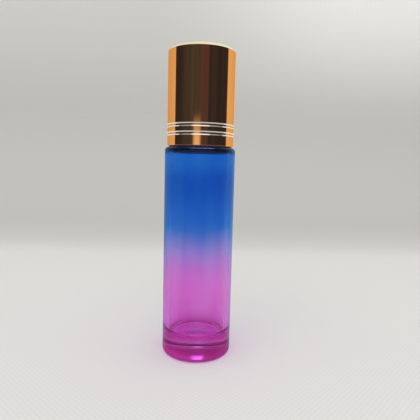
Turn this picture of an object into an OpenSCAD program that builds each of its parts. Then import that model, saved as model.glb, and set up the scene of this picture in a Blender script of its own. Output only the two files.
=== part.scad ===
// Roll on bottle: a glass bottle with a roller ball in its neck and a screw cap in a metal shell.
// The bottle stands on z = 0, and its axis is the z axis.

/* [Glass body] */
// Outside diameter of the body
body_d = 20; // [18:0.5:30]
// Height of the shoulder above the table
body_h = 59.85; // [40:0.05:90]
// Thickness of the side wall
side_wall = 1.9; // [1.2:0.1:2.6]
// Thickness of the glass floor at the middle
floor_t = 6; // [2.5:0.1:9]
// Thickness of the glass under the shoulder
shoulder_t = 1; // [0.8:0.1:4]
// Radius of the rounded shoulder
shoulder_r = 1; // [0.5:0.1:2.5]
// Radius of the rounded heel
heel_r = 1.2; // [0.4:0.1:2.2]
// Radius between the inside wall and the floor
floor_r = 2.2; // [0.5:0.1:5]
// Diameter of the shallow hollow under the base
hollow_d = 12; // [6:0.5:14]
// Depth of the hollow under the base
hollow_h = 0.25; // [0.1:0.05:1.5]

/* [Neck] */
// Height of the neck above the shoulder
neck_h = 12.65; // [11:0.05:16]
// Thickness of the glass in the neck
neck_wall = 1.4; // [1:0.1:1.8]
// Radius where the neck meets the shoulder
neck_root_r = 0.6; // [0.2:0.1:1.2]
// Radius of the rounded lip
lip_r = 0.4; // [0.1:0.1:0.6]

/* [Screw thread] */
// Rise of the thread in one turn
thread_pitch = 3; // [2.6:0.1:4]
// Turns of thread on the neck, and as many in the cap
thread_turns = 1.25; // [0.75:0.05:1.5]
// Height of a thread ridge above its wall
thread_depth = 0.8; // [0.5:0.1:1.1]
// Width of a ridge at its foot, which is sunk into its wall
ridge_foot_w = 1.6; // [1.2:0.1:1.7]
// Width of a ridge at its crest
ridge_crest_w = 0.9; // [0.5:0.1:1]
// Distance from the lip down to the upper end of the thread
thread_drop = 1.6; // [1.2:0.1:2.6]
// Gap between a ridge and the wall that it faces
thread_gap = 0.25; // [0.15:0.05:0.5]

/* [Roller] */
// Diameter of the ball
ball_d = 9.6; // [8:0.1:10.6]
// Height of the ball's centre above the lip of the glass
ball_rise = 2.5; // [2:0.1:3.4]
// Gap round the ball in its socket
ball_gap = 0.1; // [0.05:0.05:0.2]
// Thickness of the housing round the ball
socket_wall = 1; // [0.7:0.1:1.4]
// Height of the socket's lip above the ball's centre
socket_lip = 1.6; // [1:0.1:2.2]
// Diameter of the hole that feeds the ball
feed_d = 6.4; // [5.8:0.1:7]
// Thickness of the seat under the ball
seat_t = 1.1; // [0.7:0.1:1.8]
// Length of the plug inside the neck
plug_h = 7; // [6:0.1:9]
// Thickness of the plug's wall
plug_wall = 1.2; // [0.8:0.1:1.6]
// Thickness of the flange on the lip of the glass
flange_t = 0.8; // [0.5:0.1:1.2]
// Distance from the neck's outside back to the flange's edge
flange_inset = 0.3; // [0.1:0.1:0.8]
// Number of sealing beads round the plug
bead_count = 3; // [2:1:4]
// Height of a sealing bead above the plug
bead_h = 0.15; // [0.1:0.05:0.25]

/* [Cap] */
// Gap between the shoulder and the cap's lower edge
cap_gap = 0.25; // [0.15:0.05:1.2]
// Thickness of the metal shell
shell_t = 0.4; // [0.3:0.05:0.6]
// Width of the sloping edge cut round the top of the shell
top_slope_w = 0.9; // [0.5:0.05:1.2]
// Thickness of the liner's wall
liner_wall = 0.7; // [0.5:0.1:1.2]
// Thickness of the liner's top
liner_top_t = 1.2; // [0.8:0.1:2]
// Distance from the shell's lower edge up to the liner
liner_inset = 0.6; // [0.2:0.1:1.2]
// Height of the ring that holds the liner off the shell's top
crown_h = 2.6; // [1.2:0.1:5]
// Thickness of that ring
crown_t = 1; // [0.6:0.1:1.6]
// Distance from the liner's outside back to that ring
crown_inset = 1.7; // [1.2:0.1:2.5]

/* [Cut grooves] */
// Number of grooves
groove_count = 2; // [1:1:4]
// Width of a groove
groove_w = 1.06; // [0.8:0.02:1.4]
// Depth of a groove
groove_depth = 0.15; // [0.05:0.05:0.2]
// Width of each sloping side of a groove
groove_side_w = 0.3; // [0.15:0.05:0.35]
// Height of the lowest groove's middle above the shell's lower edge
groove_up = 3.24; // [2:0.02:6]
// Distance from one groove's middle to the next
groove_step = 2.24; // [1.6:0.02:3]

/* [Seal] */
// Thickness of the seal over the top of the ball
seal_t = 2.2; // [1.8:0.1:3.2]
// Thickness of the seal's disc
disc_t = 1.4; // [0.8:0.1:1.6]
// Gap between the seal and the ball
seal_gap = 0.2; // [0.1:0.05:0.3]
// Gap round the disc and over it, inside the liner
seal_play = 0.12; // [0.1:0.02:0.3]
// Thickness of the rim that reaches down round the ball
seal_rim_t = 0.7; // [0.5:0.1:1.2]
// Height of the bead that holds the disc in the liner
catch_h = 0.45; // [0.3:0.05:0.6]

/* [Hidden] */
// How far a cut or a sunk foot runs past the face that it meets
overrun = 0.3;
// Chamfer at the mouth of the bore, of the plug and of the liner
mouth_chamfer = 0.3;
// Radius at the lower edge of the shell
shell_edge_r = 0.1;
// Radius at each side of the sloping edge round the top of the shell
slope_edge_r = 0.15;
// Width of a sealing bead over its height
bead_w_share = 4;
// How much of the ledge at the shoulder its rounding may take
round_limit_share = 0.75;
// How much of the ledge inside the shoulder its two roundings take
throat_share = 0.2;
crook_share = 0.5;
// Height of the seal's rim over the socket's lip, as a share of the ball that stands out there
rim_clear_share = 0.18;
// Angle over which a thread fades in or out
fade_angle = 30;
// Steps of a thread in one turn, and of a rounded corner
thread_steps = 40;
arc_steps = 8;
$fn = 96;

body_r = body_d / 2;
inner_r = body_r - side_wall;
ball_r = ball_d / 2;
socket_r = ball_r + ball_gap;
bore_r = socket_r + socket_wall;
neck_r = bore_r + neck_wall;
thread_r = neck_r + thread_depth;
liner_in_r = thread_r + thread_gap;
liner_out_r = liner_in_r + liner_wall;
shell_r = liner_out_r + shell_t;
feed_r = feed_d / 2;
hollow_r = hollow_d / 2;

neck_top = body_h + neck_h;
ball_z = neck_top + ball_rise;
ball_top = ball_z + ball_r;
socket_top = ball_z + socket_lip;
plug_bottom = neck_top - plug_h;
seat_bottom = ball_z - socket_r - seat_t;
inner_shoulder = body_h - shoulder_t;

seal_top = ball_top + seal_gap + seal_t;
disc_bottom = seal_top - disc_t;
rim_bottom = socket_top + (ball_top - socket_top) * rim_clear_share;
disc_r = liner_in_r - seal_play;
dish_r = ball_r + seal_gap;

cap_bottom = body_h + cap_gap;
liner_bottom = cap_bottom + liner_inset;
liner_ceiling = seal_top + seal_play;
liner_top = liner_ceiling + liner_top_t;
shell_ceiling = liner_top + crown_h;
shell_top = shell_ceiling + shell_t;

ledge = body_r - neck_r;
shoulder_round = min(shoulder_r, ledge * round_limit_share);
root_round = min(neck_root_r, ledge - shoulder_round);
inner_ledge = inner_r - bore_r;
floor_round = min(floor_r, inner_r);
// The hollow under the base is part of a large sphere
hollow_ball_r = (hollow_r * hollow_r + hollow_h * hollow_h) / (2 * hollow_h);
hollow_angle = asin(hollow_r / hollow_ball_r);

neck_thread_start = neck_top - thread_drop - thread_pitch * thread_turns;
cap_thread_start = neck_thread_start - thread_pitch / 2;

// Points round part of a circle, for an outline
function arc(x, z, r, from, to) =
    [for (i = [0:arc_steps]) let (a = from + (to - from) * i / arc_steps) [x + r * cos(a), z + r * sin(a)]];

// How much of its full height a thread has at a given angle from its start
function fade(a, whole) = min(1, a / fade_angle, (whole - a) / fade_angle);

// The four corners of a thread ridge at a given angle, sunk into the wall that carries it
function ridge_ring(a, whole, foot_r, crest_r, start_z) =
    let (
        side = crest_r > foot_r ? 1 : -1,
        sunk_r = foot_r - side * overrun,
        top_r = foot_r + (crest_r - foot_r) * fade(a, whole),
        z = start_z + thread_pitch * a / 360,
        half_foot = ridge_foot_w / 2,
        half_crest = ridge_crest_w / 2
    )
    [
        for (p = [[sunk_r, -half_foot], [top_r, -half_crest], [top_r, half_crest], [sunk_r, half_foot]])
            [p[0] * cos(a), p[0] * sin(a), z + side * p[1]]
    ];

// A thread ridge wound round the axis: it stands out of a neck, or in from a liner
module ridge(foot_r, crest_r, start_z) {
    steps = round(thread_steps * thread_turns);
    whole = 360 * thread_turns;
    rings = [for (i = [0:steps]) each ridge_ring(whole * i / steps, whole, foot_r, crest_r, start_z)];
    sides = [
        for (i = [0:steps - 1], k = [0:3])
            let (a = 4 * i + k, b = 4 * i + (k + 1) % 4)
            each [[a, b, a + 4], [b, b + 4, a + 4]]
    ];
    last = 4 * steps;
    ends = [[2, 1, 0], [3, 2, 0], [last, last + 1, last + 2], [last, last + 2, last + 3]];
    polyhedron(rings, concat(sides, ends));
}

// The glass wall in section, from the axis under the base, up the outside and down the inside
module glass_outline() {
    polygon(concat(
        arc(0, hollow_h - hollow_ball_r, hollow_ball_r, 90, 90 - hollow_angle),
        arc(body_r - heel_r, heel_r, heel_r, -90, 0),
        arc(body_r - shoulder_round, body_h - shoulder_round, shoulder_round, 0, 90),
        arc(neck_r + root_round, body_h + root_round, root_round, 270, 180),
        arc(neck_r - lip_r, neck_top - lip_r, lip_r, 0, 90),
        [[bore_r + mouth_chamfer, neck_top], [bore_r, neck_top - mouth_chamfer]],
        arc(bore_r + inner_ledge * throat_share, inner_shoulder + inner_ledge * throat_share,
            inner_ledge * throat_share, 180, 270),
        arc(inner_r - inner_ledge * crook_share, inner_shoulder - inner_ledge * crook_share,
            inner_ledge * crook_share, 90, 0),
        arc(inner_r - floor_round, floor_t + floor_round, floor_round, 0, -90),
        [[0, floor_t]]
    ));
}

module glass_bottle() {
    color([0.16, 0.36, 0.80, 0.6]) {
        rotate_extrude() glass_outline();
        ridge(neck_r, thread_r, neck_thread_start);
    }
}

// The outside of the housing: plug, sealing beads, flange and the collar round the ball
module housing_body() {
    plug_r = bore_r - bead_h;
    bead_w = bead_h * bead_w_share;
    bead_step = (plug_h - mouth_chamfer) / (bead_count + 1);
    translate([0, 0, plug_bottom]) {
        cylinder(h = mouth_chamfer, r1 = plug_r - mouth_chamfer, r2 = plug_r);
        translate([0, 0, mouth_chamfer]) cylinder(h = plug_h - mouth_chamfer + flange_t, r = plug_r);
    }
    for (i = [1:bead_count])
        translate([0, 0, plug_bottom + mouth_chamfer + i * bead_step]) rotate_extrude()
            polygon([[plug_r - overrun, -bead_w / 2], [plug_r, -bead_w / 2], [bore_r, 0],
                     [plug_r, bead_w / 2], [plug_r - overrun, bead_w / 2]]);
    translate([0, 0, neck_top]) cylinder(h = flange_t, r = neck_r - flange_inset);
    translate([0, 0, neck_top]) cylinder(h = socket_top - mouth_chamfer - neck_top, r = bore_r);
    translate([0, 0, socket_top - mouth_chamfer])
        cylinder(h = mouth_chamfer, r1 = bore_r, r2 = bore_r - mouth_chamfer);
}

module roller_housing() {
    color([0.93, 0.93, 0.90]) difference() {
        housing_body();
        translate([0, 0, ball_z]) sphere(r = socket_r);
        translate([0, 0, seat_bottom - overrun]) cylinder(h = socket_r, r = feed_r);
        translate([0, 0, plug_bottom - overrun])
            cylinder(h = seat_bottom - plug_bottom + overrun, r = bore_r - bead_h - plug_wall);
    }
}

module roller_ball() {
    color([0.78, 0.79, 0.80]) translate([0, 0, ball_z]) sphere(r = ball_r);
}

// One groove in section: a flat bottom between two sloping sides
module groove_outline() {
    half = groove_w / 2;
    flat = half - groove_side_w;
    polygon([
        [shell_r + overrun, -half], [shell_r, -half], [shell_r - groove_depth, -flat],
        [shell_r - groove_depth, flat], [shell_r, half], [shell_r + overrun, half]
    ]);
}

module cap_shell() {
    // Where a rounded side of the slope starts, and the inside radius that leaves the wall its thickness
    slope_lead = slope_edge_r * tan(45 / 2);
    inner_top_r = max(top_slope_w / (2 - sqrt(2)) - shell_t, shell_edge_r);
    color([0.86, 0.62, 0.31]) rotate_extrude() difference() {
        polygon(concat(
            arc(shell_r - shell_edge_r, cap_bottom + shell_edge_r, shell_edge_r, -90, 0),
            arc(shell_r - slope_edge_r, shell_top - top_slope_w - slope_lead, slope_edge_r, 0, 45),
            arc(shell_r - top_slope_w - slope_lead, shell_top - slope_edge_r, slope_edge_r, 45, 90),
            [[0, shell_top], [0, shell_ceiling]],
            arc(liner_out_r - inner_top_r, shell_ceiling - inner_top_r, inner_top_r, 90, 0),
            [[liner_out_r, cap_bottom]]
        ));
        for (i = [0:groove_count - 1])
            translate([0, cap_bottom + groove_up + i * groove_step]) groove_outline();
    }
}

// The liner in section: wall, top and the ring that stands on it
module liner_outline() {
    crown_out_r = liner_out_r - crown_inset;
    difference() {
        union() {
            translate([0, liner_bottom]) square([liner_out_r, liner_top - liner_bottom]);
            translate([crown_out_r - crown_t, liner_top - overrun]) square([crown_t, crown_h + overrun]);
        }
        translate([0, liner_bottom - overrun])
            square([liner_in_r, liner_ceiling - liner_bottom + overrun]);
        polygon([
            [liner_in_r - overrun, liner_bottom - overrun], [liner_in_r + mouth_chamfer, liner_bottom - overrun],
            [liner_in_r + mouth_chamfer, liner_bottom], [liner_in_r, liner_bottom + mouth_chamfer],
            [liner_in_r - overrun, liner_bottom + mouth_chamfer]
        ]);
    }
}

module cap_liner() {
    color([0.95, 0.95, 0.94]) {
        rotate_extrude() liner_outline();
        rotate_extrude()
            translate([liner_in_r, disc_bottom - seal_play - catch_h]) circle(r = catch_h);
        ridge(liner_in_r, neck_r + thread_gap, cap_thread_start);
    }
}

module cap_seal() {
    color([0.88, 0.90, 0.92]) difference() {
        union() {
            translate([0, 0, disc_bottom]) cylinder(h = disc_t, r = disc_r);
            translate([0, 0, rim_bottom])
                cylinder(h = disc_bottom - rim_bottom + overrun, r = dish_r + seal_rim_t);
        }
        translate([0, 0, ball_z]) sphere(r = dish_r);
    }
}

glass_bottle();
roller_housing();
roller_ball();
cap_shell();
cap_liner();
cap_seal();
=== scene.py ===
"""The looks of a roll on bottle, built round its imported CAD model.

A lacquered glass bottle with a roller in its neck, and a screw cap with a polished metal shell.
All sizes are in metres. The bottle stands on z = 0, and its axis is the z axis.
"""

import math
from types import SimpleNamespace

import bmesh
import bpy
from bpy.props import FloatProperty, FloatVectorProperty, IntProperty, PointerProperty
from bpy.types import Operator, Panel, PropertyGroup
from mathutils import Matrix, Vector


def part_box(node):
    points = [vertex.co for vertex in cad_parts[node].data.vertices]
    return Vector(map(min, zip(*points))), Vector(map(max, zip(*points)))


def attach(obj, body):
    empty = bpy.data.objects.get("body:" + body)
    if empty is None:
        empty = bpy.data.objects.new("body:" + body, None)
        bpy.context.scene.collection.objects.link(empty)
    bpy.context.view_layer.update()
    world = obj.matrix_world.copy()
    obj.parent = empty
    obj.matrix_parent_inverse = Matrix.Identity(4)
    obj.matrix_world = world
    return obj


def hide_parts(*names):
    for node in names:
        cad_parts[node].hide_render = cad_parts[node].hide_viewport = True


bl_info = {
    "name": "Roll on bottle",
    "version": (1, 0, 0),
    "blender": (4, 5, 0),
    "location": "View3D > Sidebar > Roll on",
    "description": "Models a lacquered glass roll on bottle with a metal screw cap, and its stage",
    "category": "Object",
}

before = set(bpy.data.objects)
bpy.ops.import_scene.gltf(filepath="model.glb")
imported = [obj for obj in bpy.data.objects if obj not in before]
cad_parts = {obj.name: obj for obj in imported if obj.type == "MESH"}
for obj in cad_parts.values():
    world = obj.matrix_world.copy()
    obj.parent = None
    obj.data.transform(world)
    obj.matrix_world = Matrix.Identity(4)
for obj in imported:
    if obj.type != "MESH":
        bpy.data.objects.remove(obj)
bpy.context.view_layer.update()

PHOTO_SIDE = 420
SENSOR_WIDTH = 36

# Steps round a turned piece, in one turn of a thread and up the sweep
TURN_STEPS = 192
THREAD_STEPS = 96
SWEEP_STEPS = 48
# Steps round the corner of an outline, over a bead or shallow hollow and round a socket
CORNER_STEPS = 8
BEAD_STEPS = 16
SOCKET_STEPS = 32
# Points closer together than this are one point
SAME_POINT = 2e-7
# Faces that meet at more than this angle meet in a sharp edge
SHARP_ANGLE = math.radians(20)
# Play left between pressed pieces, so that two faces never lie in one place
PRESS_PLAY = 0.00002
# Shares of the step between ripples: half the width of a side, and the roundings of its foot and crest
RIPPLE_SHARES = (0.25, 0.3, 0.2)


def length(name, description, default):
    """A size in metres, for a panel."""
    return FloatProperty(
        name=name, description=description, default=default, min=0, precision=5, unit="LENGTH"
    )


def count(name, description, default, least, most):
    """A whole number, for a panel."""
    return IntProperty(name=name, description=description, default=default, min=least, max=most)


def angle(name, description, default):
    """An angle that is written in degrees, for a panel."""
    return FloatProperty(name=name, description=description, default=math.radians(default), subtype="ANGLE")


def tint(name, description, default):
    """A scene linear colour, for a panel."""
    return FloatVectorProperty(
        name=name, description=description, default=default, min=0, max=10, subtype="COLOR"
    )


def as_seen(red, green, blue):
    """The scene linear colour that shows as this 8 bit one."""
    shares = (red / 255, green / 255, blue / 255)
    return tuple(s / 12.92 if s <= 0.04045 else ((s + 0.055) / 1.055) ** 2.4 for s in shares)


class BottleSizes(PropertyGroup):
    """Sizes of the glass that the frame's boxes don't give."""

    side_wall: length("Side wall", "Thickness of the side wall", 0.0019)
    floor_t: length("Floor", "Thickness of the glass floor at the middle", 0.006)
    shoulder_t: length("Shoulder", "Thickness of the glass under the shoulder", 0.001)
    shoulder_round: length("Shoulder rounding", "Radius of the rounded shoulder", 0.001)
    heel_round: length("Heel rounding", "Radius of the rounded heel", 0.0012)
    floor_round: length("Floor rounding", "Radius between the inside wall and the floor", 0.0022)
    hollow_r: length("Hollow", "Radius of the shallow hollow under the base", 0.006)
    hollow_h: length("Hollow depth", "Depth of the hollow under the base", 0.00025)
    neck_h: length("Neck", "Height of the neck above the shoulder", 0.01265)
    neck_wall: length("Neck wall", "Thickness of the glass in the neck", 0.0014)
    root_round: length("Neck root", "Radius where the neck meets the shoulder", 0.0006)
    lip_round: length("Lip rounding", "Radius of the rounded lip", 0.0004)
    mouth_chamfer: length("Mouth chamfer", "Chamfer at the mouth of the bore", 0.0003)
    throat_round: length("Throat", "Radius where the inside runs into the bore", 0.00044)
    crook_round: length("Crook", "Radius between the inside wall and the shoulder", 0.0011)
    ripple_h: length("Ripple", "Height of the mould's ripples on the inside floor", 0.00006)
    ripple_count: count("Ripples", "Number of ripples on the floor", 4, 0, 8)


class ThreadSizes(PropertyGroup):
    """Sizes of the screw thread, which the neck and the liner share."""

    pitch: length("Pitch", "Rise of the thread in one turn", 0.003)
    turns: FloatProperty(name="Turns", description="Turns of thread", default=1.25, min=0.5, max=1.5)
    depth: length("Depth", "Height of a ridge above its wall", 0.0008)
    foot_w: length("Foot", "Width of a ridge at its foot", 0.0016)
    crest_w: length("Crest", "Width of a ridge at its crest", 0.0009)
    crest_round: length("Crest rounding", "Radius of the crest's corners", 0.0003)
    drop: length("Drop", "Distance from the lip down to the thread's upper end", 0.0016)
    gap: length("Gap", "Gap between a ridge and the wall that it faces", 0.00025)
    sunk: length("Sunk", "How far a ridge's foot is sunk into its wall", 0.0003)
    fade: angle("Fade", "Angle over which the thread fades in or out", 30)


class RollerSizes(PropertyGroup):
    """Sizes of the housing round the ball."""

    ball_gap: length("Ball gap", "Gap round the ball in its socket", 0.0001)
    socket_wall: length("Socket wall", "Thickness of the housing round the ball", 0.001)
    feed_r: length("Feed hole", "Radius of the hole that feeds the ball", 0.0032)
    seat_t: length("Seat", "Thickness of the seat under the ball", 0.0011)
    plug_wall: length("Plug wall", "Thickness of the plug's wall", 0.0012)
    flange_t: length("Flange", "Thickness of the flange on the lip of the glass", 0.0008)
    flange_inset: length("Flange inset", "Distance from the neck's outside to the flange", 0.0003)
    bead_h: length("Bead", "Height of a sealing bead above the plug", 0.00015)
    bead_w: length("Bead width", "Width of a sealing bead", 0.0006)
    bead_count: count("Beads", "Number of sealing beads", 3, 2, 4)
    edge_round: length("Edge rounding", "Radius of the moulded edges", 0.00015)


class CapSizes(PropertyGroup):
    """Sizes of the shell, the liner and the seal."""

    shell_t: length("Shell", "Thickness of the metal shell", 0.0004)
    top_chamfer: length("Top edge", "Width of the cut slope round the top of the shell", 0.0009)
    top_soft: length("Top edge rounding", "How far the two edges of that slope are rounded", 0.00006)
    edge_round: length("Lower edge", "Radius at the lower edge of the shell", 0.0001)
    groove_w: length("Groove", "Width of a cut groove", 0.00106)
    groove_depth: length("Groove depth", "Depth of a cut groove", 0.00015)
    groove_side_w: length("Groove side", "Width of each sloping side of a groove", 0.0003)
    groove_up: length("Groove height", "Height of the lower groove above the shell's edge", 0.00324)
    groove_step: length("Groove step", "Distance from one groove to the next", 0.00224)
    groove_count: count("Grooves", "Number of cut grooves", 2, 1, 4)
    liner_wall: length("Liner wall", "Thickness of the liner's wall", 0.0007)
    liner_top_t: length("Liner top", "Thickness of the liner's top", 0.0012)
    crown_h: length("Crown", "Height of the ring that holds the liner off the shell's top", 0.0026)
    crown_t: length("Crown wall", "Thickness of that ring", 0.001)
    crown_inset: length("Crown inset", "Distance from the liner's outside to that ring", 0.0017)
    seal_play: length("Seal play", "Gap round the seal's disc and over it", 0.00012)
    catch_h: length("Catch", "Height of the bead that holds the seal", 0.00045)
    disc_t: length("Seal disc", "Thickness of the seal's disc", 0.0014)
    rim_t: length("Seal rim", "Thickness of the rim that reaches down round the ball", 0.0007)
    seal_gap: length("Seal gap", "Gap between the seal and the ball", 0.0002)


class Finishes(PropertyGroup):
    """Colours of the pieces. The lacquer's are what two layers of it let through; its near-black neck root
    and navy rim are painted shade under the cap's edge.
    """

    lacquer_end: tint("Neck", "Thin lacquer where it ends on the neck", (0.9, 0.95, 1.0))
    # Neck root and rim: painted shade, lacquer made near-black and navy where the cap's edge shades the
    # shoulder
    lacquer_neck: tint("Neck root", "Lacquer on the shoulder and the neck's root", (0.001, 0.001, 0.004))
    lacquer_rim: tint("Rim", "Lacquer where it gathers on the round of the shoulder", (0.015, 0.10, 0.70))
    lacquer_top: tint("Top", "Lacquer close below the shoulder", (0.012, 0.205, 1.0))
    lacquer_blue: tint("Blue", "Lacquer above the blend", (0.004, 0.12, 0.80))
    lacquer_high: tint("Upper blend", "Lacquer in the upper part of the blend", (0.022, 0.205, 0.97))
    lacquer_middle: tint("Middle blend", "Lacquer in the middle of the blend", (0.335, 0.285, 0.86))
    lacquer_low: tint("Lower blend", "Lacquer in the lower part of the blend", (0.58, 0.225, 0.84))
    lacquer_magenta: tint("Magenta", "Lacquer below the blend", (0.83, 0.205, 0.81))
    lacquer_base: tint("Base", "Lacquer where it gathers above the heel", (0.56, 0.03, 0.36))
    lacquer_foot: tint("Foot", "Thin lacquer under the foot", (0.80, 0.16, 0.70))
    caught_low: tint("Caught below", "Tint of light that is trapped low in the wall", (0.85, 0.16, 0.65))
    caught_high: tint("Caught above", "Tint of light that is trapped high in it", (0.03, 0.1, 0.35))
    gold: tint("Gold", "Anodised and polished aluminium", (0.90, 0.395, 0.12))
    gold_edge: tint("Gold at a slant", "The same at a grazing angle", (0.86, 0.64, 0.44))
    pale_gold: tint("Pale gold", "Cut slope round the top", (1.0, 0.88, 0.64))
    silver: tint("Silver", "Bare aluminium on the cut slopes of the grooves", (0.90, 0.84, 0.76))
    steel: tint("Steel", "Polished ball", (0.72, 0.73, 0.74))
    housing: tint("Housing", "Natural polyethylene", (0.80, 0.80, 0.77))
    liner: tint("Liner", "White polypropylene", (0.86, 0.86, 0.84))
    seal: tint("Seal", "Soft wad", (0.74, 0.76, 0.78))


class StageSettings(PropertyGroup):
    """The floor, its sweep up to the wall, the light on them, and the painted reflections that metal and
    glass are shown.
    """

    floor: tint("Floor", "Colour of the floor", as_seen(226, 225, 222))
    wall: tint("Wall", "Colour of the wall behind", as_seen(191, 190, 185))
    # Upper wall, left and right: painted light, the wall grows lighter towards its top and most towards the
    # right
    painted_light_left: tint("Upper wall, left", "Colour of the wall on the upper left", as_seen(208, 207, 202))
    painted_light_right: tint("Upper wall, right", "Colour of the wall on the upper right", as_seen(240, 240, 236))
    threads: tint("Threads", "Colour of the threads of the cloth", (0.62, 0.60, 0.62))
    floor_gap: length("Floor gap", "How far the floor lies under the foot", 0.00005)
    sweep_from: length("Sweep", "Where the floor starts to curve up behind the bottle", 0.15)
    wall_at: length("Wall", "Distance of the wall behind the bottle", 0.26)
    wall_h: length("Wall height", "Height of the wall", 1.6)
    half_width: length("Half width", "Half the width of the floor and the wall", 1.4)
    front: length("Front", "How far the floor reaches in front of the bottle", 2.0)
    fill: FloatProperty(name="Fill", description="Level of the even light all round", default=1.0, min=0)
    lamp_power: FloatProperty(name="Lamp", description="Power of the lamp", default=1.3, min=0, unit="POWER")
    lamp_width: length("Lamp width", "Width of the lamp overhead", 0.7)
    lamp_depth: length("Lamp depth", "Depth of the lamp overhead", 0.45)
    # From here to glass_behind: painted reflections, levels that only rays mirrored by metal or glass are
    # shown on the sweep and in the world
    room_dark: tint("Room", "What polished metal mirrors from the unlit side", (0.042, 0.054, 0.122))
    room_dim: tint("Room by the window", "What it mirrors from its lighter part", (0.084, 0.108, 0.185))
    room_figure: tint("Figure", "What it mirrors from the middle of that side", (0.125, 0.105, 0.20))
    glow: tint("Glow", "What it mirrors from a bright gap low in that side", (0.85, 0.9, 1.0))
    near_floor: tint("Near floor", "What it mirrors from the floor in front", (0.6, 0.6, 0.6))
    room_left: tint("Left light", "What polished metal mirrors from the left", (0.80, 0.80, 0.80))
    room_right: tint("Right light", "What polished metal mirrors from the right", (0.86, 0.88, 0.82))
    room_above: tint("Light above", "What polished metal mirrors from above", (1.15, 1.05, 0.92))
    in_glass: tint("Round the glass", "What the face of the glass mirrors in front", (0.18, 0.18, 0.18))
    glass_left: tint("Left of the glass", "What it mirrors from the left of the sweep", (0.20, 0.34, 0.40))
    glass_right: tint("Right of the glass", "What it mirrors from the right of it", (0.30, 0.48, 0.54))
    glass_behind: tint("Behind the glass", "What it mirrors from past the sweep", (0.26, 0.42, 0.48))
    # Painted highlight: a bright window high in front that only the face of the glass mirrors, and metal does
    # not
    window: tint("Window", "What the face of the glass mirrors high in front", (5.5, 5.5, 6.0))
    # Painted highlight: a bright patch high on the wall that only rays through the hollow of the foot see
    painted_foot_highlight: tint("High window", "What the foot gathers from high on the wall", (1.7, 2.6, 2.4))
    in_wall: tint("In the wall", "What light that is trapped in the glass wall shows", (0.28, 0.22, 0.25))


class CameraSettings(PropertyGroup):
    """The photograph's view."""

    place: FloatVectorProperty(name="Place", description="Where the camera stands", subtype="TRANSLATION",
                               default=(-0.00142, -0.11628, 0.05523), precision=5)
    focal_pixels: FloatProperty(name="Focal length", description="In pixels of the photograph", default=403)
    yaw: angle("Yaw", "Turn to the right", 2.30)
    pitch: angle("Pitch", "Tilt down", 6.48)
    roll: angle("Roll", "Lean to the left", 1.44)


def worked_out(scene):
    """Radii and heights that follow from the frame's boxes and the sizes in the panel."""
    glass, thread = scene.bottle_sizes, scene.thread_sizes
    roller, cap = scene.roller_sizes, scene.cap_sizes
    ball_low, ball_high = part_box("roller_ball")
    glass_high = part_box("glass_bottle")[1]
    housing_low, housing_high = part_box("roller_housing")
    shell_low, shell_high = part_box("cap_shell")
    liner_low, liner_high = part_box("cap_liner")
    seal_low, seal_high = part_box("cap_seal")
    d = SimpleNamespace()
    d.body_r = glass_high.x
    d.neck_top = glass_high.z
    d.body_h = d.neck_top - glass.neck_h
    d.inner_r = d.body_r - glass.side_wall
    d.ball_r = (ball_high.z - ball_low.z) / 2
    d.ball_z = (ball_high.z + ball_low.z) / 2
    d.socket_r = d.ball_r + roller.ball_gap
    d.bore_r = d.socket_r + roller.socket_wall
    d.neck_r = d.bore_r + glass.neck_wall
    d.thread_r = d.neck_r + thread.depth
    d.liner_in_r = d.thread_r + thread.gap
    d.liner_out_r = d.liner_in_r + cap.liner_wall
    d.shell_r = shell_high.x
    d.plug_bottom = housing_low.z
    d.socket_top = housing_high.z
    d.seat_bottom = d.ball_z - d.socket_r - roller.seat_t
    d.cap_bottom = shell_low.z
    d.shell_top = shell_high.z
    d.shell_ceiling = d.shell_top - cap.shell_t
    d.liner_bottom = liner_low.z
    d.liner_top = liner_high.z - cap.crown_h
    d.liner_ceiling = d.liner_top - cap.liner_top_t
    d.seal_top = seal_high.z
    d.disc_bottom = d.seal_top - cap.disc_t
    d.rim_bottom = seal_low.z
    d.neck_thread = d.neck_top - thread.drop - thread.pitch * thread.turns
    d.cap_thread = d.neck_thread - thread.pitch / 2
    return d


def round_off(bm, points, rounding, segments=CORNER_STEPS):
    """Rounds points of an outline."""
    bmesh.ops.bevel(
        bm,
        geom=points,
        offset=rounding,
        offset_type="OFFSET",
        segments=segments,
        profile=0.5,
        affect="VERTICES",
        material=-1,
    )


def spun(bm, geom, whole, steps, centre=(0, 0, 0), axis=(0, 0, 1), rise=0, closed=False):
    """Spins geometry round an axis, and up by a rise at each step. Returns what the last step made."""
    made = bmesh.ops.spin(
        bm,
        geom=geom,
        cent=centre,
        axis=axis,
        dvec=(0, 0, rise),
        angle=whole,
        steps=steps,
        use_merge=closed,
        use_normal_flip=False,
        use_duplicate=False,
    )
    return made["geom_last"]


def chain(bm, corners, start=None):
    """Joins (radius, height, rounding) corners in the x z plane, after any start, and rounds them."""
    points = [start] if start else []
    rounded = []
    for radius, height, rounding in corners:
        points.append(bm.verts.new((radius, 0, height)))
        if rounding:
            rounded.append((points[-1], rounding))
    for pair in zip(points, points[1:]):
        bm.edges.new(pair)
    for point, rounding in rounded:
        round_off(bm, [point], rounding)


def swing(bm, start, centre, through, steps):
    """Swings a point of an outline round a (radius, height) centre. Returns the point where it ends."""
    radius, height = centre
    return spun(bm, [start], through, steps, centre=(radius, 0, height), axis=(0, -1, 0))[0]


def turn(bm, material=0):
    """Spins the outline that no face uses yet round the z axis, as a lathe does."""
    older = set(bm.faces)
    edges = [e for e in bm.edges if not e.link_faces]
    points = list(dict.fromkeys(v for e in edges for v in e.verts))
    spun(bm, points + edges, math.tau, TURN_STEPS, closed=True)
    bmesh.ops.remove_doubles(bm, verts=bm.verts[:], dist=SAME_POINT)
    for face in bm.faces:
        if face not in older:
            face.material_index = material


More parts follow.
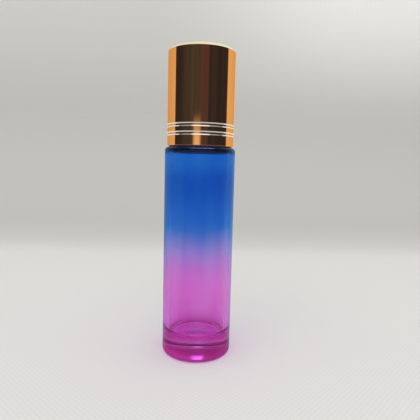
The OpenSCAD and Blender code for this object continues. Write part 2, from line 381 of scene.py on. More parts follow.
def wind_thread(bm, sizes, wall_r, crest_r, start_z):
    """Winds a rounded thread ridge round the z axis, fading in and out of its wall."""
    side = math.copysign(1, crest_r - wall_r)
    steps = round(THREAD_STEPS * sizes.turns)
    whole = math.tau * sizes.turns
    foot_r = wall_r - side * sizes.sunk
    corners = (
        (foot_r, -sizes.foot_w / 2),
        (crest_r, -sizes.crest_w / 2),
        (crest_r, sizes.crest_w / 2),
        (foot_r, sizes.foot_w / 2),
    )
    section = [bm.verts.new((radius, 0, start_z + height)) for radius, height in corners]
    bm.faces.new(section)
    round_off(bm, section[1:3], sizes.crest_round, CORNER_STEPS // 2)
    section = bm.verts[:] + bm.edges[:] + bm.faces[:]
    spun(bm, section, whole, steps, rise=sizes.pitch * sizes.turns / steps)
    for point in bm.verts:
        radius = math.hypot(point.co.x, point.co.y)
        polar = math.atan2(point.co.y, point.co.x)
        climbed = (point.co.z - start_z) / sizes.pitch * math.tau
        along = polar + math.tau * round((climbed - polar) / math.tau)
        standing = (radius - wall_r) * side
        if standing > 0:
            fade = min(1, max(0, along / sizes.fade), max(0, (whole - along) / sizes.fade))
            faded = wall_r + side * (standing * fade - sizes.sunk * (1 - fade) / 2)
            point.co.x *= faded / radius
            point.co.y *= faded / radius


def as_object(bm, name, materials):
    """Closes a bmesh into an object of the scene, with its normals outward."""
    bmesh.ops.remove_doubles(bm, verts=bm.verts[:], dist=SAME_POINT)
    bmesh.ops.recalc_face_normals(bm, faces=bm.faces[:])
    mesh = bpy.data.meshes.new(name)
    bm.to_mesh(mesh)
    bm.free()
    for material in materials:
        mesh.materials.append(material)
    made = bpy.data.objects.new(name, mesh)
    bpy.context.scene.collection.objects.link(made)
    return made


def join_solids(piece, other):
    """Unites a second solid with a piece, so that no face is left inside the material."""
    joint = piece.modifiers.new("Join", "BOOLEAN")
    joint.operation = "UNION"
    joint.solver = "EXACT"
    joint.object = other
    held = piece.evaluated_get(bpy.context.evaluated_depsgraph_get())
    joined = bpy.data.meshes.new_from_object(held)
    piece.modifiers.clear()
    plain = piece.data
    name = plain.name
    piece.data = joined
    bpy.data.meshes.remove(plain)
    joined.name = name
    bpy.data.objects.remove(other)


def shade(piece):
    """Smooth faces, sharp edges where the outline has a corner, and normals that keep the flats flat."""
    bm = bmesh.new()
    bm.from_mesh(piece.data)
    for face in bm.faces:
        face.smooth = True
    for edge in bm.edges:
        edge.smooth = edge.calc_face_angle(0) < SHARP_ANGLE
    bm.to_mesh(piece.data)
    bm.free()
    weighted = piece.modifiers.new("Flats", "WEIGHTED_NORMAL")
    weighted.mode = "FACE_AREA"
    weighted.keep_sharp = True


def hand_over(piece, body, node):
    """Puts a finished piece on its body, in place of its CAD node."""
    shade(piece)
    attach(piece, body)
    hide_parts(node)


# Parts of a noise's range: nearly all of it, its middle, and a narrower part for firmer edges
NOISE_MOST = (0.2, 0.8)
NOISE_MIDDLE = (0.3, 0.7)
NOISE_CORE = (0.35, 0.65)
# Depths in metres of the skin of the lacquer, the waves of the inside wall and the skin of plastic
PEEL_DEPTH = 0.000004
WAVE_DEPTH = 0.00003
SKIN_DEPTH = 0.000008
# Heights in metres at which the lacquer has each of its colours; those of rim and neck carry the painted
# shade under the cap's edge
LACQUER_HEIGHTS = {
    "foot": (0.0, 0.0007),
    "base": (0.0015, 0.0046),
    "magenta": (0.0095, 0.0211),
    "low": (0.0266,),
    "middle": (0.0302,),
    "high": (0.0373,),
    "blue": (0.0478, 0.0512),
    "top": (0.0555, 0.0584),
    "rim": (0.0588, 0.0593),
    "neck": (0.0598, 0.0612),
    "end": (0.0650,),
}
# The height over which the fade wanders, and the heights between which that starts and ends
DRIFT = 0.006
DRIFT_STARTS = (0.008, 0.018)
DRIFT_ENDS = (0.058, 0.048)
# Heights between which the tint of trapped light turns from the lower one to the upper one
CAUGHT_TURNS = (0.040, 0.055)
# Powers of the lacquer's tint: in its thick and its thin runs, and in one layer as lamps see it
RUN_TINTS = (1.14, 0.86)
ONE_LAYER = 0.35
# What the clear inside of the glass lets through where it is plainly see-through
BARE_GLASS = (0.97, 0.97, 0.97)
# Glossy bounces past which light counts as trapped in the glass wall
MOST_BOUNCES = 3.5
BLACK = (0, 0, 0)


def new_material(name):
    """A material, its node tree and the only node in that, the output."""
    material = bpy.data.materials.new(name)
    material.use_nodes = True
    tree = material.node_tree
    tree.nodes.clear()
    return material, tree, new_node(tree, "OutputMaterial")


def opaque(colour):
    """A colour with the alpha that a socket wants."""
    return (*colour[:3], 1)


def link(tree, source, target):
    """Links an output socket to an input, or writes a plain number or colour into it."""
    if isinstance(source, bpy.types.NodeSocket):
        tree.links.new(source, target)
    elif target.type == "RGBA":
        target.default_value = opaque(source)
    else:
        target.default_value = source


def new_node(tree, kind, **values):
    """A node of a kind, with its named inputs linked or set."""
    node = tree.nodes.new("ShaderNode" + kind)
    for name, value in values.items():
        link(tree, value, node.inputs[name.replace("_", " ")])
    return node


def ray(tree, name):
    """What is known of the ray that meets a surface, by the name of the Light Path output."""
    return new_node(tree, "LightPath").outputs[name]


def maths(tree, operation, *values):
    """The output of a Math node on sockets or numbers."""
    node = new_node(tree, "Math")
    node.operation = operation
    for value, target in zip(values, node.inputs):
        link(tree, value, target)
    return node.outputs[0]


def product(tree, first, *others):
    """Factors multiplied with each other."""
    for other in others:
        first = maths(tree, "MULTIPLY", first, other)
    return first


def ramp_between(tree, value, low, high, low_to=0.0, high_to=1.0):
    """A smooth step from one value to another as a socket goes from low to high."""
    node = new_node(tree, "MapRange")
    node.interpolation_type = "SMOOTHSTEP"
    for source, target in zip((value, low, high, low_to, high_to), node.inputs):
        link(tree, source, target)
    return node.outputs[0]


def band(tree, value, middle, faded, full):
    """A factor by the distance from a middle: 0 from where it has faded out, and 1 from where it is full."""
    off = maths(tree, "ABSOLUTE", maths(tree, "SUBTRACT", value, middle))
    return ramp_between(tree, off, faded, full)


def blended(tree, factor, first, second):
    """A colour between two colours, by a factor."""
    node = new_node(tree, "Mix")
    node.data_type = "RGBA"
    link(tree, factor, node.inputs["Factor"])
    link(tree, first, node.inputs[6])
    link(tree, second, node.inputs[7])
    return node.outputs[2]


def mix_shaders(tree, factor, first, second, output):
    """Shows a mix of two shaders, by a factor."""
    mix = new_node(tree, "MixShader")
    for source, target in zip((factor, first.outputs[0], second.outputs[0]), mix.inputs):
        tree.links.new(source, target)
    tree.links.new(mix.outputs[0], output.inputs["Surface"])


def object_place(tree, stretch=(1, 1, 1)):
    """Object coordinates, stretched along each axis."""
    place = new_node(tree, "TexCoord").outputs["Object"]
    if tuple(stretch) == (1, 1, 1):
        return place
    return new_node(tree, "Mapping", Vector=place, Scale=stretch).outputs[0]


def noise(tree, place, scale, detail=2.0):
    """A noise between 0 and 1 over a place."""
    return new_node(tree, "TexNoise", Vector=place, Scale=scale, Detail=detail).outputs[0]


def bump(tree, height, distance):
    """A normal from a height between 0 and 1, which stands for a distance in metres."""
    return new_node(tree, "Bump", Height=height, Distance=distance).outputs[0]


def varied(tree, pattern, colour, least, most):
    """A colour that goes from one share of itself to another over a pattern."""
    return blended(tree, pattern, [c * least for c in colour], [min(1, c * most) for c in colour])


def about(tree, pattern, value, share):
    """A number that a pattern moves down and up by a share of itself."""
    return ramp_between(tree, pattern, *NOISE_MOST, value * (1 - share), value * (1 + share))


def smooth_glass(tree, colour, normal):
    """Smooth glass of a colour."""
    look = {"Base_Color": colour, "Roughness": 0.0, "IOR": 1.5, "Transmission_Weight": 1.0}
    return new_node(tree, "BsdfPrincipled", Normal=normal, **look)


def trapped_in_wall(tree):
    """1 for light that bounces in the glass wall more often than the renderer would follow it."""
    return maths(tree, "GREATER_THAN", ray(tree, "Glossy Depth"), MOST_BOUNCES)


def let_lamps_through(tree, shader, colour, trapped_colour, output):
    """Makes glass plainly see-through for lamps, for matt things and for light trapped in its wall."""
    matt = maths(tree, "MAXIMUM", ray(tree, "Is Shadow Ray"), ray(tree, "Is Diffuse Ray"))
    trapped = trapped_in_wall(tree)
    one_layer = new_node(tree, "Gamma", Color=colour, Gamma=ONE_LAYER).outputs[0]
    clear = new_node(tree, "BsdfTransparent", Color=blended(tree, trapped, one_layer, trapped_colour))
    mix_shaders(tree, maths(tree, "MAXIMUM", matt, trapped), shader, clear, output)


def lacquered_glass(scene, d):
    """Glass under a see-through lacquer that fades from blue at the shoulder to magenta at the base, with
    painted shade in dark lacquer on the round of the shoulder and the neck's root, under the cap.
    """
    finish = scene.finishes
    material, tree, output = new_material("lacquered_glass")
    place = object_place(tree)
    z = new_node(tree, "SeparateXYZ", Vector=place).outputs["Z"]
    wander = maths(tree, "SUBTRACT", noise(tree, object_place(tree, (1, 1, 0.3)), scale=140), 0.5)
    off_base = ramp_between(tree, z, *DRIFT_STARTS, 0, DRIFT)
    under_rim = ramp_between(tree, z, *DRIFT_ENDS)
    height = maths(tree, "ADD", z, product(tree, wander, off_base, under_rim))
    coat = new_node(tree, "ValToRGB")
    tree.links.new(maths(tree, "DIVIDE", height, d.neck_top), coat.inputs[0])
    stops = [(at, name) for name, heights in LACQUER_HEIGHTS.items() for at in heights]
    elements = coat.color_ramp.elements
    while len(elements) < len(stops):
        elements.new(1)
    for element, (at, name) in zip(elements, stops):
        element.position = at / d.neck_top
        element.color = opaque(getattr(finish, "lacquer_" + name))
    runs = noise(tree, object_place(tree, (1, 1, 0.12)), scale=190, detail=1)
    power = ramp_between(tree, runs, *NOISE_MIDDLE, *RUN_TINTS)
    thick = new_node(tree, "Gamma", Color=coat.outputs[0], Gamma=power).outputs[0]
    peel = noise(tree, place, scale=900, detail=1)
    shader = smooth_glass(tree, thick, bump(tree, peel, PEEL_DEPTH))
    caught = blended(tree, ramp_between(tree, z, *CAUGHT_TURNS), finish.caught_low, finish.caught_high)
    let_lamps_through(tree, shader, thick, caught, output)
    return material


def clear_glass():
    """The bare inside of the glass, with the slight waves of a moulded wall."""
    material, tree, output = new_material("clear_glass")
    waves = noise(tree, object_place(tree, (1, 1, 0.2)), scale=260, detail=1)
    shader = smooth_glass(tree, (1, 1, 1), bump(tree, waves, WAVE_DEPTH))
    let_lamps_through(tree, shader, BARE_GLASS, BARE_GLASS, output)
    return material


def polished_metal(name, colour, grain, roughness, depth, slant=(1, 1, 1)):
    """Polished metal with fine lines along the stretched axes of its grain, and a tint at a slant."""
    material, tree, output = new_material(name)
    lines = noise(tree, object_place(tree, grain), scale=1, detail=4)
    shader = new_node(
        tree,
        "BsdfPrincipled",
        Base_Color=varied(tree, lines, colour, least=0.94, most=1.05),
        Metallic=1.0,
        Roughness=about(tree, lines, roughness, share=0.3),
        Specular_Tint=slant,
        Normal=bump(tree, lines, depth),
    )
    tree.links.new(shader.outputs[0], output.inputs["Surface"])
    return material


def moulded_plastic(name, colour, roughness, cloudiness):
    """Moulded plastic: faint flow marks in its colour and a fine skin."""
    material, tree, output = new_material(name)
    place = object_place(tree)
    flow = noise(tree, place, scale=300, detail=3)
    skin = noise(tree, place, scale=4000)
    shader = new_node(
        tree,
        "BsdfPrincipled",
        Base_Color=varied(tree, flow, colour, least=0.93, most=1),
        Roughness=about(tree, skin, roughness, share=0.15),
        Subsurface_Weight=cloudiness,
        Subsurface_Scale=0.001,
        Normal=bump(tree, skin, SKIN_DEPTH),
    )
    tree.links.new(shader.outputs[0], output.inputs["Surface"])
    return material


def glass_skin(bm, sizes, d):
    """The wall's outside from the middle of the base to the lip, then its inside back down to the floor."""
    hollow_ball_r = (sizes.hollow_r**2 + sizes.hollow_h**2) / (2 * sizes.hollow_h)
    hollow_turn = math.asin(sizes.hollow_r / hollow_ball_r)
    lip_middle = d.bore_r + sizes.neck_wall / 2
    under = bm.verts.new((0, 0, sizes.hollow_h))
    ring = swing(bm, under, (0, sizes.hollow_h - hollow_ball_r), -hollow_turn, BEAD_STEPS)
    chain(bm, [
        (d.body_r, 0, sizes.heel_round),
        (d.body_r, d.body_h, sizes.shoulder_round),
        (d.neck_r, d.body_h, sizes.root_round),
        (d.neck_r, d.neck_top, sizes.lip_round),
        (lip_middle, d.neck_top, 0),
    ], start=ring)
    turn(bm, material=0)
    step = (d.inner_r - sizes.floor_round) / (sizes.ripple_count + 1)
    side, foot_round, crest_round = (step * part for part in RIPPLE_SHARES)
    ripples = []
    for i in range(sizes.ripple_count, 0, -1):
        ripples.append((i * step + side, sizes.floor_t, foot_round))
        ripples.append((i * step - side, sizes.floor_t + sizes.ripple_h, crest_round))
    chain(bm, [
        (lip_middle, d.neck_top, 0),
        (d.bore_r + sizes.mouth_chamfer, d.neck_top, 0),
        (d.bore_r, d.neck_top - sizes.mouth_chamfer, 0),
        (d.bore_r, d.body_h - sizes.shoulder_t, sizes.throat_round),
        (d.inner_r, d.body_h - sizes.shoulder_t, sizes.crook_round),
        (d.inner_r, sizes.floor_t, sizes.floor_round),
        *ripples,
        (0, sizes.floor_t, 0),
    ])
    turn(bm, material=1)


class ROLLON_OT_glass(Operator):
    """Model the glass bottle with its threaded neck, in place of its CAD node"""

    bl_idname = "rollon.glass"
    bl_label = "Glass bottle"

    def execute(self, context):
        scene = context.scene
        d = worked_out(scene)
        coats = [lacquered_glass(scene, d), clear_glass()]
        body = bmesh.new()
        glass_skin(body, scene.bottle_sizes, d)
        bottle = as_object(body, "lacquered_bottle", coats)
        ridge = bmesh.new()
        wind_thread(ridge, scene.thread_sizes, d.neck_r, d.thread_r, d.neck_thread)
        join_solids(bottle, as_object(ridge, "neck_ridge", coats))
        hand_over(bottle, "bottle", "glass_bottle")
        return {"FINISHED"}


class ROLLON_OT_roller(Operator):
    """Model the roller: the housing pressed into the neck, and the steel ball in it"""

    bl_idname = "rollon.roller"
    bl_label = "Roller housing and ball"

    def housing(self, scene, d):
        sizes = scene.roller_sizes
        chamfer = scene.bottle_sizes.mouth_chamfer
        plug_r = d.bore_r - sizes.bead_h
        passage_r = plug_r - sizes.plug_wall
        mouth_h = d.socket_top - d.ball_z
        mouth_r = math.sqrt(d.socket_r**2 - mouth_h**2)
        bead_step = (d.neck_top - d.plug_bottom - chamfer) / (sizes.bead_count + 1)
        beads = []
        for i in range(1, sizes.bead_count + 1):
            at = d.plug_bottom + chamfer + i * bead_step
            beads.append((plug_r, at - sizes.bead_w / 2, 0))
            beads.append((d.bore_r - PRESS_PLAY, at, sizes.bead_h / 2))
            beads.append((plug_r, at + sizes.bead_w / 2, 0))
        flange_r = d.neck_r - sizes.flange_inset
        lip = d.neck_top + PRESS_PLAY
        socket_turn = math.asin(mouth_h / d.socket_r) + math.acos(sizes.feed_r / d.socket_r)
        bm = bmesh.new()
        mouth = bm.verts.new((mouth_r, 0, d.socket_top))
        socket_end = swing(bm, mouth, (0, d.ball_z), -socket_turn, SOCKET_STEPS)
        chain(bm, [
            (sizes.feed_r, d.seat_bottom, sizes.edge_round),
            (passage_r, d.seat_bottom, 0),
            (passage_r, d.plug_bottom, sizes.edge_round),
            (plug_r - chamfer, d.plug_bottom, 0),
            (plug_r, d.plug_bottom + chamfer, 0),
            *beads,
            (plug_r, lip, 0),
            (flange_r, lip, sizes.edge_round),
            (flange_r, d.neck_top + sizes.flange_t, 2 * sizes.edge_round),
            (d.bore_r, d.neck_top + sizes.flange_t, 2 * sizes.edge_round),
            (d.bore_r, d.socket_top, chamfer),
            (mouth_r, d.socket_top, 0),
        ], start=socket_end)
        turn(bm)
        tints = scene.finishes
        plastic = moulded_plastic("housing_plastic", tints.housing, roughness=0.42, cloudiness=0.15)
        piece = as_object(bm, "roller_fitment", [plastic])
        hand_over(piece, "bottle", "roller_housing")

    def ball(self, scene, d):
        bm = bmesh.new()
        under = bm.verts.new((0, 0, d.ball_z - d.ball_r))
        swing(bm, under, (0, d.ball_z), math.pi, TURN_STEPS // 2)
        turn(bm)
        finish = {"grain": (900, 900, 900), "roughness": 0.05, "depth": 0.0000003}
        steel = polished_metal("polished_steel", scene.finishes.steel, **finish)
        piece = as_object(bm, "steel_ball", [steel])
        hand_over(piece, "ball", "roller_ball")

    def execute(self, context):
        d = worked_out(context.scene)
        self.housing(context.scene, d)
        self.ball(context.scene, d)
        return {"FINISHED"}


class ROLLON_OT_shell(Operator):
    """Model the cap's metal shell with its cut grooves"""

    bl_idname = "rollon.shell"
    bl_label = "Cap shell"

    def execute(self, context):
        scene = context.scene
        sizes = scene.cap_sizes
        d = worked_out(scene)
        half = sizes.groove_w / 2
        flat = half - sizes.groove_side_w
        floor_r = d.shell_r - sizes.groove_depth
        inside_r = d.liner_out_r
        inside_round = max(sizes.top_chamfer / (2 - math.sqrt(2)) - sizes.shell_t, sizes.edge_round)
        bm = bmesh.new()
        start = [
            (inside_r, d.cap_bottom + sizes.shell_t, 0),
            (inside_r, d.cap_bottom, sizes.edge_round),
            (d.shell_r, d.cap_bottom, sizes.edge_round),
        ]
        for i in range(sizes.groove_count):
            middle = d.cap_bottom + sizes.groove_up + i * sizes.groove_step
            chain(bm, [*start, (d.shell_r, middle - half, 0)])
            turn(bm, material=0)
            chain(bm, [(d.shell_r, middle - half, 0), (floor_r, middle - flat, 0)])
            chain(bm, [(floor_r, middle + flat, 0), (d.shell_r, middle + half, 0)])
            turn(bm, material=1)
            chain(bm, [(floor_r, middle - flat, 0), (floor_r, middle + flat, 0)])
            turn(bm, material=0)
            start = [(d.shell_r, middle + half, 0)]
        slope_from = d.shell_top - sizes.top_chamfer
        slope_in = d.shell_r - sizes.top_chamfer
        soft = sizes.top_soft / math.sqrt(2)
        chain(bm, [
            *start,
            (d.shell_r, slope_from, sizes.top_soft),
            (d.shell_r - soft, slope_from + soft, 0),
        ])
        turn(bm, material=0)
        chain(bm, [(d.shell_r - soft, slope_from + soft, 0), (slope_in + soft, d.shell_top - soft, 0)])
        turn(bm, material=2)
        chain(bm, [
            (slope_in + soft, d.shell_top - soft, 0),
            (slope_in, d.shell_top, sizes.top_soft),
            (0, d.shell_top, 0),
        ])
        turn(bm, material=0)
        chain(bm, [
            (0, d.shell_ceiling, 0),
            (inside_r, d.shell_ceiling, inside_round),
            (inside_r, d.cap_bottom + sizes.shell_t, 0),
        ])
        turn(bm, material=0)
        tints = scene.finishes
        drawn = {"grain": (1500, 1500, 12), "roughness": 0.05, "depth": 0.0000004}
        cut = {"grain": (300, 300, 9000), "roughness": 0.15, "depth": 0.0000003}
        gold = polished_metal("gold_aluminium", tints.gold, slant=tints.gold_edge, **drawn)
        silver = polished_metal("cut_aluminium", tints.silver, **cut)
        pale = polished_metal("cut_gold", tints.pale_gold, **cut)
        piece = as_object(bm, "gold_shell", [gold, silver, pale])
        hand_over(piece, "cap", "cap_shell")
        return {"FINISHED"}


class ROLLON_OT_liner(Operator):
    """Model the cap's threaded liner and the seal that it holds"""

    bl_idname = "rollon.liner"
    bl_label = "Cap liner and seal"

    def liner(self, scene, d):
        sizes = scene.cap_sizes
        chamfer = scene.bottle_sizes.mouth_chamfer
        out_r = d.liner_out_r - PRESS_PLAY
        crown_out_r = d.liner_out_r - sizes.crown_inset
        crown_in_r = crown_out_r - sizes.crown_t
        crown_top = d.liner_top + sizes.crown_h - PRESS_PLAY
        catch_z = d.disc_bottom - sizes.seal_play - sizes.catch_h
        soft = chamfer / 2
        bm = bmesh.new()
        below = bm.verts.new((d.liner_in_r, 0, catch_z + sizes.catch_h))
        catch_end = swing(bm, below, (d.liner_in_r, catch_z), math.pi, BEAD_STEPS)
        chain(bm, [
            (d.liner_in_r, d.liner_bottom + chamfer, 0),
            (d.liner_in_r + chamfer, d.liner_bottom, 0),
            (out_r, d.liner_bottom, soft),
            (out_r, d.liner_top, soft),
            (crown_out_r, d.liner_top, soft),
            (crown_out_r, crown_top, soft),
            (crown_in_r, crown_top, soft),
            (crown_in_r, d.liner_top, soft),
            (0, d.liner_top, 0),
        ], start=catch_end)
        turn(bm)
        chain(bm, [
            (0, d.liner_ceiling, 0),
            (d.liner_in_r, d.liner_ceiling, soft),
            (d.liner_in_r, catch_z + sizes.catch_h, 0),
        ])
        turn(bm)
        tints = scene.finishes
        plastic = moulded_plastic("liner_plastic", tints.liner, roughness=0.28, cloudiness=0.1)
        piece = as_object(bm, "threaded_liner", [plastic])
        ridge = bmesh.new()
        crest_r = d.neck_r + scene.thread_sizes.gap
        wind_thread(ridge, scene.thread_sizes, d.liner_in_r, crest_r, d.cap_thread)
        join_solids(piece, as_object(ridge, "liner_ridge", [plastic]))
        hand_over(piece, "cap", "cap_liner")

    def seal(self, scene, d):
        sizes = scene.cap_sizes
        disc_r = d.liner_in_r - sizes.seal_play
        dish_r = d.ball_r + sizes.seal_gap
        rim_r = dish_r + sizes.rim_t
        edge = scene.bottle_sizes.mouth_chamfer
        mouth_h = d.rim_bottom - d.ball_z
        mouth_r = math.sqrt(dish_r**2 - mouth_h**2)
        bm = bmesh.new()
        top = bm.verts.new((0, 0, d.ball_z + dish_r))
        mouth = swing(bm, top, (0, d.ball_z), -math.acos(mouth_h / dish_r), SOCKET_STEPS)
        chain(bm, [
            ((mouth_r + rim_r) / 2, d.rim_bottom, 0),
            (rim_r, d.rim_bottom, edge),
            (rim_r, d.disc_bottom, edge),
            (disc_r, d.disc_bottom, edge),
            (disc_r, d.seal_top, edge),
            (0, d.seal_top, 0),
        ], start=mouth)
        turn(bm)
        wad = moulded_plastic("soft_seal", scene.finishes.seal, roughness=0.7, cloudiness=0.2)
        piece = as_object(bm, "seal_wad", [wad])
        hand_over(piece, "seal", "cap_seal")

    def execute(self, context):
        d = worked_out(context.scene)
        self.liner(context.scene, d)
        self.seal(context.scene, d)
        return {"FINISHED"}


# Shares of the sweep's distance between which the floor's colour gives way to the wall's
WALL_SHARES = (0.8, 1.35)
# Places in metres between which one level gives way to the next: across and up the wall for its painted
# light, and across and from front to back for the painted reflections that metal and glass mirror
WALL_PAINTED_ACROSS = (-0.05, 0.15)
WALL_PAINTED_UP = (0.08, 0.22)
LIGHT_ACROSS = (-0.1, 0.1)
LIGHT_BEHIND = (-0.005, 0.01)
# A painted highlight, a bright patch high on the wall that only rays through the hollow of the foot see: its
# middle, how far from there it has faded out and is full, and the heights between which it comes on from its
# foot and from its head
PAINTED_HIGHLIGHT_ACROSS = (-0.005, 0.052, 0.014)
PAINTED_HIGHLIGHT_FOOT = (0.140, 0.190)
PAINTED_HIGHLIGHT_HEAD = (0.32, 0.27)
# Bands of the room in degrees to the right of straight in front: the middle, then how far from there the band
# has faded out and how far it is full
DIM_BAND = (-28, 40, 15)
FIGURE_BAND = (9, 18, 8)
GLOW_BAND = (-13, 17, 5)
ABOVE_BAND = (0, 46, 40)
# The window's band is that of a painted highlight that only the face of the glass mirrors
WINDOW_BAND = (10, 54, 48)
LIT_BAND = (0, 96, 98)
# Degrees above level between which parts of the room come on
GLOW_RISE = (7.2, 3.6)
ABOVE_RISE = (40, 48)
OVERHEAD_RISE = (66, 73)
WINDOW_FOOT = (46, 50)
WINDOW_HEAD = (64, 60)
# Shares of a direction that lie to the right, between which the left light gives way to the right one
ROOM_ACROSS = (-0.2, 0.2)
# How much the threads show in the cloth and the folds in the unlit room, and the least of the light above
THREADS_SHARE = 0.35
FOLDS_SHARE = 0.35
LEAST_ABOVE = 0.35
# Where the lamp hangs, and the point that it is aimed at
LAMP_PLACE = (-0.12, -0.42, 0.72)
LAMP_AIM = (0, 0, 0.03)


def around(tree, bearing):
    """A place that only changes with a bearing, for noise that runs in upright streaks."""
    return new_node(tree, "CombineXYZ", X=bearing).outputs[0]


def bearing_band(tree, bearing, degrees):
    """A band of bearings, which is written in degrees."""
    return band(tree, bearing, *(math.radians(part) for part in degrees))


def rise_between(tree, z, degrees):
    """A factor that comes on between two elevations, which are written in degrees."""
    return ramp_between(tree, z, *(math.sin(math.radians(part)) for part in degrees))


def mirrored_in(tree):
    """Two factors: 1 for a ray that left metal, and 1 for a ray that left the face of glass."""
    not_through = maths(tree, "SUBTRACT", 1.0, ray(tree, "Is Transmission Ray"))
    mirrored = product(tree, ray(tree, "Is Glossy Ray"), not_through)
    in_glass = product(tree, mirrored, ray(tree, "Is Singular Ray"))
    return maths(tree, "SUBTRACT", mirrored, in_glass), in_glass


def weave(tree):
    """The faint crossed threads of the cloth on the floor, as a small factor."""
    place = new_node(tree, "NewGeometry").outputs["Position"]
    threads = []
    for way in (45, -45):
        turned = new_node(tree, "VectorRotate", Vector=place, Angle=math.radians(way))
        turned.rotation_type = "Z_AXIS"
        wave = new_node(tree, "TexWave", Vector=turned.outputs[0], Scale=300, Distortion=0.6)
        threads.append(wave.outputs["Fac"])
    return product(tree, *threads, THREADS_SHARE)


def stage_surface(stage):
    """A pale floor that runs into a slightly darker wall, with painted light that makes the wall lighter
    towards its top and right.
    Metal, glass and light trapped in the glass wall are shown painted reflections there, levels of their own
    that the sweep glows with, and the hollow of the foot a painted highlight, a high window on the wall."""
    material, tree, output = new_material("sweep")
    place = new_node(tree, "NewGeometry").outputs["Position"]
    x, y, z = new_node(tree, "SeparateXYZ", Vector=place).outputs
    up_wall = ramp_between(tree, y, *(stage.sweep_from * part for part in WALL_SHARES))
    painted_wall_light = blended(tree, ramp_between(tree, x, *WALL_PAINTED_ACROSS), stage.painted_light_left, stage.painted_light_right)
    wall = blended(tree, ramp_between(tree, z, *WALL_PAINTED_UP), stage.wall, painted_wall_light)
    cloth = blended(tree, weave(tree), blended(tree, up_wall, stage.floor, wall), stage.threads)
    paper = new_node(tree, "BsdfDiffuse", Color=cloth)
    sides = ramp_between(tree, x, *LIGHT_ACROSS)
    behind = ramp_between(tree, y, *LIGHT_BEHIND)
    lit = blended(tree, sides, stage.room_left, stage.room_right)
    metal_painted_reflection = blended(tree, behind, stage.near_floor, lit)
    beside = blended(tree, sides, stage.glass_left, stage.glass_right)
    glass_painted_reflection = blended(tree, behind, stage.in_glass, beside)
    in_metal, in_glass = mirrored_in(tree)
    trapped = trapped_in_wall(tree)
    # Painted highlight: where the patch high on the wall shows to rays through the hollow of the foot
    painted_highlight_share = product(
        tree,
        band(tree, x, *PAINTED_HIGHLIGHT_ACROSS),
        ramp_between(tree, z, *PAINTED_HIGHLIGHT_FOOT),
        ramp_between(tree, z, *PAINTED_HIGHLIGHT_HEAD),
        ray(tree, "Is Transmission Ray"),
        maths(tree, "COMPARE", ray(tree, "Glossy Depth"), 1.0, 0.5),
    )
    painted_reflection_colour = blended(tree, in_glass, metal_painted_reflection, glass_painted_reflection)
    painted_reflection_colour = blended(tree, painted_highlight_share, painted_reflection_colour, stage.painted_foot_highlight)
    painted_reflection_colour = blended(tree, trapped, painted_reflection_colour, stage.in_wall)
    # seen: the sweep's glow of painted reflections for mirrored rays and of the painted highlight for the
    # foot's hollow
    seen = new_node(tree, "Emission", Color=painted_reflection_colour)
    mirrored = maths(tree, "ADD", painted_highlight_share, maths(tree, "ADD", in_metal, in_glass))
    mix_shaders(tree, maths(tree, "MAXIMUM", mirrored, trapped), paper, seen, output)
    return material


def room(world, stage):
    """Even light all round. Metal, glass and light trapped in the glass wall are shown painted reflections of
    a room of their own:
    unlit on the camera's side with a bright gap low in it, lit behind, and with a painted highlight, a window
    high in front that only the glass shows."""
    world.use_nodes = True
    tree = world.node_tree
    tree.nodes.clear()
    output = new_node(tree, "OutputWorld")
    towards = new_node(tree, "TexCoord").outputs["Generated"]
    x, y, z = new_node(tree, "SeparateXYZ", Vector=towards).outputs
    bearing = maths(tree, "ARCTAN2", x, maths(tree, "MULTIPLY", y, -1.0))
    behind = bearing_band(tree, bearing, LIT_BAND)
    lit = blended(tree, ramp_between(tree, x, *ROOM_ACROSS), stage.room_left, stage.room_right)
    dark = blended(tree, bearing_band(tree, bearing, DIM_BAND), stage.room_dark, stage.room_dim)
    dark = blended(tree, bearing_band(tree, bearing, FIGURE_BAND), dark, stage.room_figure)
    folds = ramp_between(tree, noise(tree, around(tree, bearing), scale=2.2, detail=3), *NOISE_CORE)
    dark = blended(tree, FOLDS_SHARE, dark, blended(tree, folds, BLACK, dark))
    glow = product(tree, bearing_band(tree, bearing, GLOW_BAND), rise_between(tree, z, GLOW_RISE))
    dark = blended(tree, glow, dark, stage.glow)
    level = blended(tree, behind, dark, lit)
    share_above = maths(tree, "MAXIMUM", bearing_band(tree, bearing, ABOVE_BAND), LEAST_ABOVE)
    share_above = maths(tree, "MAXIMUM", share_above, rise_between(tree, z, OVERHEAD_RISE))
    above = blended(tree, share_above, BLACK, stage.room_above)
    metal_painted_reflection = blended(tree, rise_between(tree, z, ABOVE_RISE), level, above)
    # pane: where the painted highlight window lies, which only the glass is shown
    pane = product(
        tree,
        bearing_band(tree, bearing, WINDOW_BAND),
        rise_between(tree, z, WINDOW_FOOT),
        rise_between(tree, z, WINDOW_HEAD),
    )
    glass_painted_reflection = blended(tree, behind, stage.in_glass, stage.glass_behind)
    glass_painted_reflection = blended(tree, pane, glass_painted_reflection, stage.window)
    looked_at = maths(tree, "MAXIMUM", ray(tree, "Is Camera Ray"), ray(tree, "Is Transmission Ray"))
    even = blended(tree, looked_at, [stage.fill] * 3, stage.wall)
    in_metal, in_glass = mirrored_in(tree)
    shown = blended(tree, in_glass, blended(tree, in_metal, even, metal_painted_reflection), glass_painted_reflection)
    shown = blended(tree, trapped_in_wall(tree), shown, stage.in_wall)
    background = new_node(tree, "Background", Color=shown)
    tree.links.new(background.outputs[0], output.inputs["Surface"])


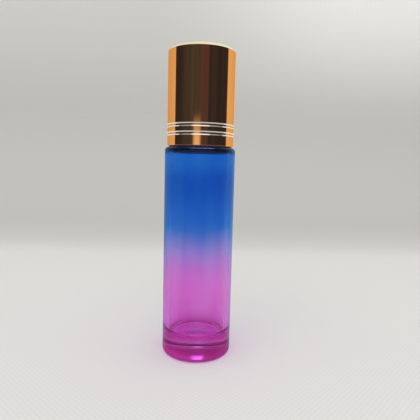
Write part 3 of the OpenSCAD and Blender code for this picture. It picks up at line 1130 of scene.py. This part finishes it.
class ROLLON_OT_stage(Operator):
    """Set up the floor with its sweep, the light and the photograph's camera"""

    bl_idname = "rollon.stage"
    bl_label = "Stage and camera"

    def sweep(self, stage):
        bm = bmesh.new()
        low = -stage.floor_gap
        points = [
            bm.verts.new((-stage.half_width, y, z))
            for y, z in ((-stage.front, low), (stage.wall_at, low), (stage.wall_at, stage.wall_h))
        ]
        for pair in zip(points, points[1:]):
            bm.edges.new(pair)
        round_off(bm, [points[1]], stage.wall_at - stage.sweep_from, SWEEP_STEPS)
        pulled = bmesh.ops.extrude_edge_only(bm, edges=bm.edges[:])["geom"]
        across = [v for v in pulled if isinstance(v, bmesh.types.BMVert)]
        bmesh.ops.translate(bm, verts=across, vec=(2 * stage.half_width, 0, 0))
        for face in bm.faces:
            face.smooth = True
        paper = as_object(bm, "sweep", [stage_surface(stage)])

    def lamp(self, stage):
        light = bpy.data.lights.new("overhead", "AREA")
        light.shape = "RECTANGLE"
        light.size = stage.lamp_width
        light.size_y = stage.lamp_depth
        light.energy = stage.lamp_power
        lamp = bpy.data.objects.new("overhead", light)
        lamp.location = LAMP_PLACE
        aim = Vector(LAMP_AIM) - lamp.location
        lamp.rotation_euler = aim.to_track_quat("-Z", "Y").to_euler()
        lamp.visible_camera = False
        lamp.visible_glossy = False
        lamp.visible_transmission = False
        bpy.context.scene.collection.objects.link(lamp)

    def camera(self, scene):
        view = scene.camera_settings
        lens = bpy.data.cameras.new("camera")
        lens.sensor_width = SENSOR_WIDTH
        lens.lens = view.focal_pixels / PHOTO_SIDE * SENSOR_WIDTH
        lens.clip_start = 0.01
        lens.clip_end = 10
        camera = bpy.data.objects.new("camera", lens)
        tilt = Matrix.Rotation(math.pi / 2 - view.pitch, 4, "X")
        turned = Matrix.Rotation(-view.yaw, 4, "Z") @ tilt @ Matrix.Rotation(view.roll, 4, "Z")
        camera.matrix_world = Matrix.Translation(view.place) @ turned
        scene.collection.objects.link(camera)
        scene.camera = camera

    def execute(self, context):
        scene = context.scene
        self.sweep(scene.stage_settings)
        self.lamp(scene.stage_settings)
        self.camera(scene)
        scene.world = bpy.data.worlds.new("room")
        room(scene.world, scene.stage_settings)
        scene.view_settings.view_transform = "Standard"
        return {"FINISHED"}


class ROLLON_PT_panel(Panel):
    """The sizes and the steps, in the sidebar"""

    bl_idname = "ROLLON_PT_panel"
    bl_label = "Roll on bottle"
    bl_space_type = "VIEW_3D"
    bl_region_type = "UI"
    bl_category = "Roll on"

    def draw(self, context):
        for operator in OPERATORS:
            self.layout.operator(operator.bl_idname)
        for attribute, group in GROUPS.items():
            box = self.layout.box()
            box.label(text=attribute.replace("_", " ").capitalize())
            for name in group.__annotations__:
                box.prop(getattr(context.scene, attribute), name)


GROUPS = {
    "bottle_sizes": BottleSizes,
    "thread_sizes": ThreadSizes,
    "roller_sizes": RollerSizes,
    "cap_sizes": CapSizes,
    "finishes": Finishes,
    "stage_settings": StageSettings,
    "camera_settings": CameraSettings,
}
OPERATORS = (ROLLON_OT_glass, ROLLON_OT_roller, ROLLON_OT_shell, ROLLON_OT_liner, ROLLON_OT_stage)


def register():
    for cls in (*GROUPS.values(), *OPERATORS, ROLLON_PT_panel):
        bpy.utils.register_class(cls)
    for attribute, group in GROUPS.items():
        setattr(bpy.types.Scene, attribute, PointerProperty(type=group))


def unregister():
    for attribute in GROUPS:
        delattr(bpy.types.Scene, attribute)
    for cls in (ROLLON_PT_panel, *reversed(OPERATORS), *reversed(GROUPS.values())):
        bpy.utils.unregister_class(cls)


def main():
    """Registers the add-on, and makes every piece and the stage."""
    register()
    bpy.ops.rollon.glass()
    bpy.ops.rollon.roller()
    bpy.ops.rollon.shell()
    bpy.ops.rollon.liner()
    bpy.ops.rollon.stage()


if __name__ == "__main__":
    main()
